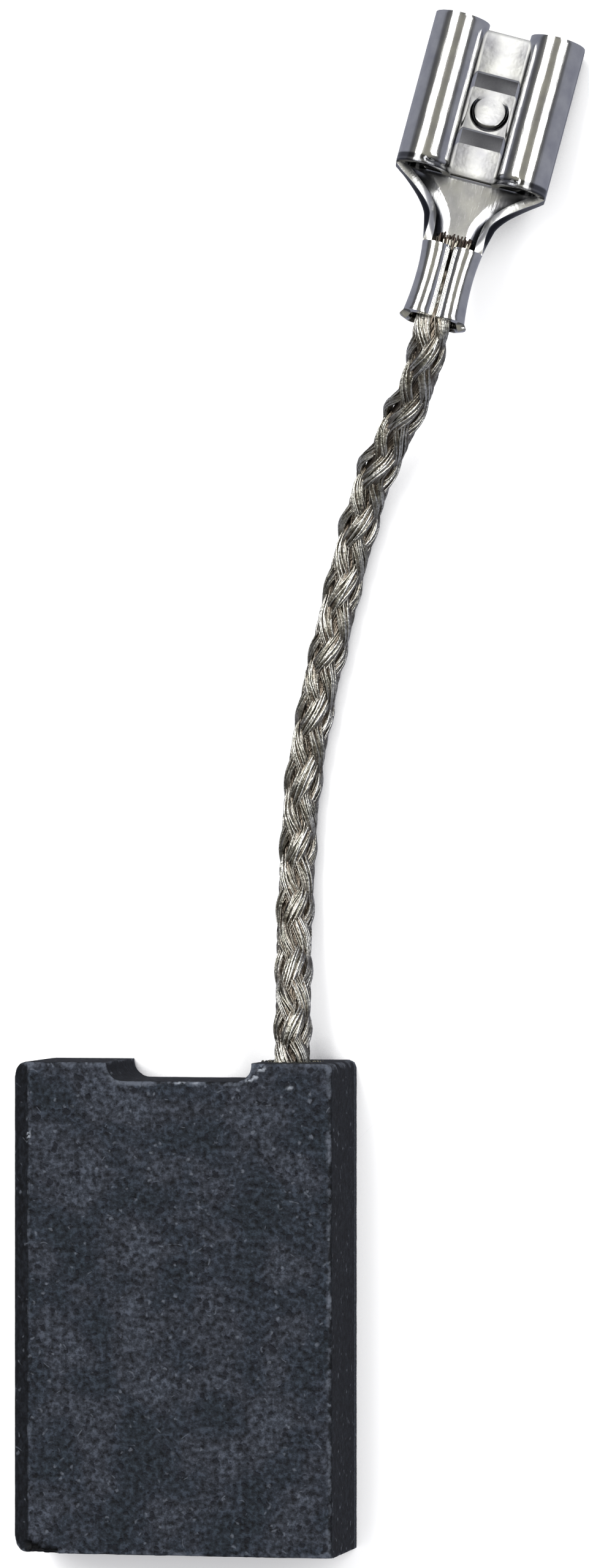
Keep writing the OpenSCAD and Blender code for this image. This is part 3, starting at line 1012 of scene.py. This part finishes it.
def makeShunt():
    line = plaitLine()
    runNodes(line, "plaited shunt", plaitNodes, tinnedCopper(), shunt["inputs"])
    made = applied(line, "shuntPlait")
    print("shunt:", len(made.data.polygons), "faces")
    return made


plait = makeShunt()
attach(plait, "root")
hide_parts("shunt_braid")


# The shunt's cut wire ends, which stand out of the crimp into the funnel

wireEnds = {
    "from": Vector((0.0, 13.4, 0.70)),  # across, station and height in the receptacle, mm
    "sway": ((-0.12, 0.0, -0.05), (0.12, 0.0, 0.12)),
    "steps": 12,
    "inputs": {
        "Count": 80,
        "Length": 3.05,
        "Half Width": 0.74,
        "Half Height": 0.25,
        "Splay": 0.22,
        "Uneven": 0.14,  # how much shorter the shortest are
        "Wire Radius": 0.045,
        "Seed": 11,
    },
}
goldenAngle = 2.39996


def wireEndNodes(tree, given):
    line = output(tree, "GeometryNodeMeshToCurve", {"Mesh": given["Geometry"]})
    copies, index = copied(tree, line, given["Count"])
    along = output(tree, "GeometryNodeSplineParameter", None, "Factor")

    # Spread evenly over an oval, and splayed towards their ends
    outward = calc(tree, "SQRT", calc(tree, "DIVIDE", index, given["Count"]))
    golden = times(tree, index, goldenAngle)
    bent = calc(tree, "POWER", along, 3.0)
    reach = times(tree, outward, calc(tree, "MULTIPLY_ADD", bent, given["Splay"], 1.0))
    across = times(tree, calc(tree, "COSINE", golden), times(tree, reach, given["Half Width"]))
    height = times(tree, calc(tree, "SINE", golden), times(tree, reach, given["Half Height"]))
    missing = chance(tree, index, given["Seed"], 0.0, given["Uneven"])
    back = times(tree, times(tree, missing, given["Length"]), along)
    swayed = scaled(tree, chanceVector(tree, index, *wireEnds["sway"]), bent)
    offset = output(tree, "ShaderNodeCombineXYZ", {0: across, 1: back, 2: height})
    tone = chance(tree, index, given["Seed"], 0.0, 1.0)
    toned = store(tree, copies, "tone", tone, "CURVE")
    laid = output(tree, "GeometryNodeSetPosition",
                  {"Geometry": toned, "Offset": vectorCalc(tree, "ADD", offset, swayed)})
    return tube(tree, laid, 6, given["Wire Radius"])


def cutCopper():
    # Cut ends of tinned copper wire: the tin is rubbed off and the copper has browned
    material, tree, shader = newMaterial("tinned copper wire, cut and browned")
    colour = ramp(tree, marked(tree, "tone"), [
        (0.0, "#2a2421"), (0.45, "#5a4f49"), (0.7, "#8d877c"), (1.0, "#d8d4c8"),
    ])
    fill(shader, {"Base Color": colour, "Metallic": 1.0, "Roughness": 0.38})
    return material


def makeWireEnds():
    steps, length = wireEnds["steps"], wireEnds["inputs"]["Length"]
    line = lineObject("wireEndLine", [
        wireEnds["from"] - Vector((0, length * i / steps, 0)) for i in range(steps + 1)])
    runNodes(line, "cut wire ends", wireEndNodes, cutCopper(), wireEnds["inputs"])
    made = applied(line, "shuntWireEnds")
    for vertex in made.data.vertices:
        vertex.co = receptaclePoint(*vertex.co)
    turnOutward(made)
    print("wire ends:", len(made.data.polygons), "faces")
    return made


cutEnds = makeWireEnds()
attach(cutEnds, "root")


# Carbon block: pressed, grainy on its broad faces, worn along its edges

block = {
    "voxel": 0.125 * mm,
    "edgeWear": 0.04 * mm,  # how deep the edges are rubbed down
    "edgeGain": (5, 2.2),  # how strongly a bulge counts as an edge, before and after it is spread
    "broadFrom": (0.86, 0.12),  # how level a face must be to count as broad, and over what the grain fades
    "wearParts": (0.55, 0.9, 0.6),  # even wear, and what the coarse and the fine noise add
    "lessWear": 0.3,  # its share away from the face that rubs in the holder
    "rubbedAbove": 5.9 * mm,
    "coarseNoise": 0.8 * mm,
    "fineNoise": 0.26 * mm,
    "grainDepth": 0.03 * mm,
    "farEdge": (7.93, 0.55, 0.12),  # a painted highlight line on the far side: from x on, its height and half width, mm
    "farHighlight": 0.75,
    "chips": [  # place, half widths, depth, mm
        ((-6.85, -12.1, 6.2), (0.6, 0.85, 0.75), 0.3),
        ((-6.1, -12.1, 6.3), (0.55, 0.5, 0.5), 0.24),
        ((2.6, 11.15, 6.35), (0.3, 0.16, 0.3), 0.07),
        ((-3.1, -12.1, 6.35), (0.7, 0.2, 0.3), 0.06),
    ],
    "glintSpots": [  # place and half widths of painted glints, mm
        ((0.48, 11.12, 6.3), (0.3, 0.1, 0.12)),
        ((1.25, 11.12, 6.3), (0.14, 0.1, 0.12)),
        ((4.22, 11.35, 6.3), (0.12, 0.12, 0.12)),
        ((3.95, 11.2, 6.3), (0.16, 0.09, 0.12)),
        ((4.55, 11.72, 6.3), (0.2, 0.1, 0.12)),
        ((5.95, 10.85, 6.3), (0.13, 0.07, 0.12)),
        ((-7.12, 8.4, 6.25), (0.08, 0.2, 0.15)),
    ],
}


def blockForm():
    # The solid's own shape, with even faces all over
    solid = bmesh.new()
    solid.from_mesh(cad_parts["carbon_block"].data)
    bmesh.ops.remove_doubles(solid, verts=solid.verts, dist=0.001 * mm)
    plain = meshObject("blockForm", [])
    solid.to_mesh(plain.data)
    solid.free()
    remesh = plain.modifiers.new("voxels", "REMESH")
    remesh.mode = "VOXEL"
    remesh.voxel_size = block["voxel"]
    return applied(plain, "pressedBlock")


def makeBlock():
    made = blockForm()
    mesh = made.data
    count = len(mesh.vertices)
    places = readArray(mesh.vertices, "co", 3)
    normals = readArray(mesh.vertex_normals, "vector", 3)
    edges = readArray(mesh.edges, "vertices", 2, np.int64)
    neighbours = np.bincount(edges.ravel(), minlength=count)

    def around(values):
        total = np.zeros_like(values)
        np.add.at(total, edges[:, 0], values[edges[:, 1]])
        np.add.at(total, edges[:, 1], values[edges[:, 0]])
        return total / (neighbours[:, None] if values.ndim > 1 else neighbours)

    def awayFrom(place, sizes):
        return np.linalg.norm((places / mm - np.array(place)) / np.array(sizes), axis=1)

    # The edges are where the surface bulges
    bulge = np.einsum("ij,ij->i", places - around(places), normals) / block["voxel"]
    sharper, wider = block["edgeGain"]
    edge = np.clip(bulge * sharper, 0, 1)
    for _ in range(3):
        edge = 0.4 * edge + 0.6 * around(edge)
    edge = np.clip(edge * wider, 0, 1)
    level, over = block["broadFrom"]
    broad = np.clip((np.abs(normals[:, 2]) - level) / over, 0, 1)

    coarse = np.array([noise.noise(Vector(p) / block["coarseNoise"]) for p in places])
    fine = np.array([noise.noise(Vector(p) / block["fineNoise"]) for p in places])
    even, byCoarse, byFine = block["wearParts"]
    wearAndHighlight = edge * np.clip(even + byCoarse * coarse + byFine * fine, 0, 1.3)
    # The edges of the face that rubs in the holder are worn most
    sunk = block["edgeWear"] * wearAndHighlight * np.where(places[:, 2] > block["rubbedAbove"], 1.0, block["lessWear"])
    # A painted highlight line along the far side
    farX, farZ, farHalf = block["farEdge"]
    far = np.clip(1.4 - np.abs(places[:, 2] / mm - farZ) / farHalf, 0, 1) * (places[:, 0] > farX * mm)
    broken, bright = np.zeros(count), np.zeros(count)
    for place, sizes, depth in block["chips"]:
        hit = np.clip((1.0 + 0.3 * fine + 0.2 * coarse - awayFrom(place, sizes)) * 3.5, 0, 1)
        sunk = np.maximum(sunk, hit * depth * mm * (0.8 + 0.5 * fine))
        broken = np.maximum(broken, hit)
    # Painted glints at the listed spots
    for place, sizes in block["glintSpots"]:
        bright = np.maximum(bright, np.clip((1.3 - awayFrom(place, sizes)) * 2, 0, 1))
    sunk += broad * np.clip(0.4 + fine, 0, 1) * block["grainDepth"]
    sunk[places[:, 2] < 0.03 * mm] = 0
    places -= normals * sunk[:, None]
    places[:, 2] = np.maximum(places[:, 2], 0)
    mesh.vertices.foreach_set("co", places.ravel())
    mesh.update()
    # Wear along the edges, and the painted highlight line on the far side, for the colour
    floatAttribute(mesh, "wearAndHighlight", np.maximum(wearAndHighlight, block["farHighlight"] * far))
    floatAttribute(mesh, "broken", broken)
    floatAttribute(mesh, "bright", bright)
    floatAttribute(mesh, "broad", broad)
    mesh.materials.clear()
    mesh.materials.append(pressedCarbon())
    smoothShading(made)
    print("block:", len(mesh.polygons), "faces")
    return made


def pressedCarbon():
    # Pressed carbon-graphite: matt slate black; grains pulled out of the broad faces leave pits, painted dark
    # as the shade in them, graphite flakes catch the light as painted glints, rubbed edges are greyer, and
    # painted highlights lie along the far side and on the listed spots
    material, tree, shader = newMaterial("carbon-graphite, pressed and ground")
    where = output(tree, "ShaderNodeTexCoord", None, "Object")
    broad, wearAndHighlight = marked(tree, "broad"), marked(tree, "wearAndHighlight")

    def grainy(size, detail=2.0, roughness=0.5):
        return noisy(tree, where, 1 / (size * mm), detail, roughness)

    patches = ramp(tree, grainy(3.0, 3.0), [
        (0.36, "#191f26"), (0.47, "#1f242c"), (0.55, "#25282f"), (0.66, "#2d3139"),
    ])
    colour = laidOver(tree, "#0e1116", patches, spread(tree, broad, 0, 1))
    grain = grainy(0.3, 5.0, 0.66)
    light = ramp(tree, grain, [
        (0.36, (0.10, 0.10, 0.11, 1)),
        (0.46, (0.36, 0.37, 0.38, 1)),
        (0.52, (0.50, 0.50, 0.50, 1)),
        (0.60, (0.95, 0.95, 0.93, 1)),
        (0.70, (1.0, 1.0, 1.0, 1)),
    ])
    grained = output(tree, "ShaderNodeMix", {"Factor": 1.0, 6: colour, 7: light}, 2,
                     data_type="RGBA", blend_type="MULTIPLY")
    colour = scaled(tree, grained, 1.8)
    # Pits of all outlines: cells whose places are shifted by noise, painted dark as the shade in them
    blotches = noisy(tree, where, 1 / (0.22 * mm), which="Color")
    shift = scaled(tree, vectorCalc(tree, "SUBTRACT", blotches, (0.5, 0.5, 0.5)), 0.3 * mm)
    moved = vectorCalc(tree, "ADD", where, shift)
    cells = output(tree, "ShaderNodeTexVoronoi", {"Vector": moved, "Scale": 1 / (0.46 * mm)}, "Distance")
    size = spread(tree, grainy(0.7), 0.4, 0.62, 0.06, 0.42)
    inPit = calc(tree, "SUBTRACT", size, cells)
    pitted = times(tree, spread(tree, inPit, 0.0, 0.14), spread(tree, broad, 0, 1, 0.2, 0.85))
    colour = laidOver(tree, colour, "#0f1117", pitted)
    # Flakes of graphite: short lines and dots painted lighter, as painted glints
    near = calc(tree, "ABSOLUTE", calc(tree, "SUBTRACT", grainy(1.5, 1.0), 0.5))
    streak = times(tree, spread(tree, near, 0.016, 0.004), spread(tree, grainy(0.42, 1.0), 0.6, 0.68))
    dots = output(tree, "ShaderNodeTexVoronoi", {"Vector": moved, "Scale": 1 / (0.7 * mm)}, "Distance")
    dot = spread(tree, dots, 0.16, 0.06)
    speckle = grainy(0.16)
    # Greyer where the edges are worn, and along the painted highlight line on the far side
    wearAndHighlightAmount = spread(tree, times(tree, speckle, wearAndHighlight), 0.12, 0.42, 0.0, 0.8)
    # Painted glints on the listed spots
    glint = times(tree, marked(tree, "bright"), spread(tree, speckle, 0.4, 0.55))
    for over, amount in (("#555a62", times(tree, streak, 0.5)), ("#565b63", times(tree, dot, 0.6)),
                         ("#4c515a", wearAndHighlightAmount), ("#07080a", marked(tree, "broken")), ("#80858c", glint)):
        colour = laidOver(tree, colour, over, amount)
    height = calc(tree, "MULTIPLY_ADD", pitted, -0.5, grain)
    fill(shader, {
        "Base Color": colour, "Specular IOR Level": 0.18,
        "Roughness": spread(tree, broad, 0, 1, 0.68, 0.72),
        "Normal": bumped(tree, height, 0.13 * mm, spread(tree, broad, 0, 1, 0.3, 0.8)),
    })
    return material


pressedBlock = makeBlock()
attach(pressedBlock, "root")
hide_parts("carbon_block")


# Tamped powder round the buried shunt, with crumbs where it was pressed in

powder = {
    "outer": 1.25 * mm,
    "inner": 0.8 * mm,
    "top": 11.85 * mm,
    "bottom": 4.0 * mm,
    "around": 96,
    "roughness": 0.11 * mm,
    "lumps": 0.3 * mm,
    "rings": 6,
    "crumbScale": ((0.4, 0.4, 0.4), (1.6, 0.9, 1.6)),
    "inputs": {
        "Middle": tuple(shunt["exit"] * mm),
        "Inner": shunt["diameter"] / 2,
        "Outer": 1.55 * mm,
        "Size": 0.06 * mm,
        "Count": 70,
        "Seed": 5,
    },
}


def powderMesh(middle):
    # A ring of powder, closed all round, its upper face uneven
    inner, outer, steps = powder["inner"], powder["outer"], powder["rings"]
    rings = [(inner, powder["bottom"], 0), (inner, powder["top"], 0)]
    rings += [(inner + (outer - inner) * k / steps, powder["top"], 1) for k in range(1, steps)]
    rings += [(outer, powder["top"], 0), (outer, powder["bottom"], 0)]
    around = powder["around"]
    points, faces = [], []
    for radius, y, uneven in rings:
        for i in range(around):
            a = 2 * math.pi * i / around
            at = Vector((radius * math.cos(a), 0, radius * math.sin(a)))
            lift = uneven * powder["roughness"] * (0.2 + noise.noise(at / powder["lumps"]))
            points.append((middle.x + at.x, y + lift, middle.z + at.z))
    for k in range(len(rings)):
        here, further = k * around, (k + 1) % len(rings) * around
        for i in range(around):
            j = (i + 1) % around
            faces.append((here + i, here + j, further + j, further + i))
    return points, faces


def crumbNodes(tree, given):
    index = output(tree, "GeometryNodeInputIndex")
    turn = chance(tree, index, given["Seed"], 0.0, 2 * math.pi)
    away = chance(tree, index, calc(tree, "ADD", given["Seed"], 1.0), given["Inner"], given["Outer"])
    x = times(tree, calc(tree, "COSINE", turn), away)
    z = times(tree, calc(tree, "SINE", turn), away)
    spot = output(tree, "ShaderNodeCombineXYZ", {0: x, 2: z})
    spots = output(tree, "GeometryNodePoints", {
        "Count": given["Count"], "Position": vectorCalc(tree, "ADD", spot, given["Middle"]), "Radius": 0.001})
    crumb = output(tree, "GeometryNodeMeshIcoSphere", {"Radius": given["Size"], "Subdivisions": 1})
    scattered = output(tree, "GeometryNodeInstanceOnPoints", {
        "Points": spots, "Instance": crumb,
        "Rotation": chanceVector(tree, index, (0.0, 0.0, 0.0), (6.28, 6.28, 6.28)),
        "Scale": chanceVector(tree, index, *powder["crumbScale"]),
    })
    return joined(tree, given["Geometry"], scattered)


def tampedPowder():
    # Tamped copper-graphite powder: dull brown-grey with copper glints
    material, tree, shader = newMaterial("copper-graphite powder, tamped")
    where = output(tree, "ShaderNodeTexCoord", None, "Object")
    grains = noisy(tree, where, 1 / (0.14 * mm), 3.0)
    colour = ramp(tree, grains, [(0.35, "#191a1a"), (0.52, "#414039"), (0.66, "#8b8674")])
    fill(shader, {"Base Color": colour, "Metallic": 0.4, "Roughness": 0.62,
                  "Normal": bumped(tree, grains, 0.06 * mm, 0.7)})
    return material


def makePowder():
    ring = meshObject("powderRing", *powderMesh(shunt["exit"] * mm))
    runNodes(ring, "powder crumbs", crumbNodes, tampedPowder(), powder["inputs"])
    made = applied(ring, "tampedPowder")
    turnOutward(made)
    smoothShading(made)
    print("powder:", len(made.data.polygons), "faces")
    return made


powderRing = makePowder()
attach(powderRing, "root")
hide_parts("tamping_plug")
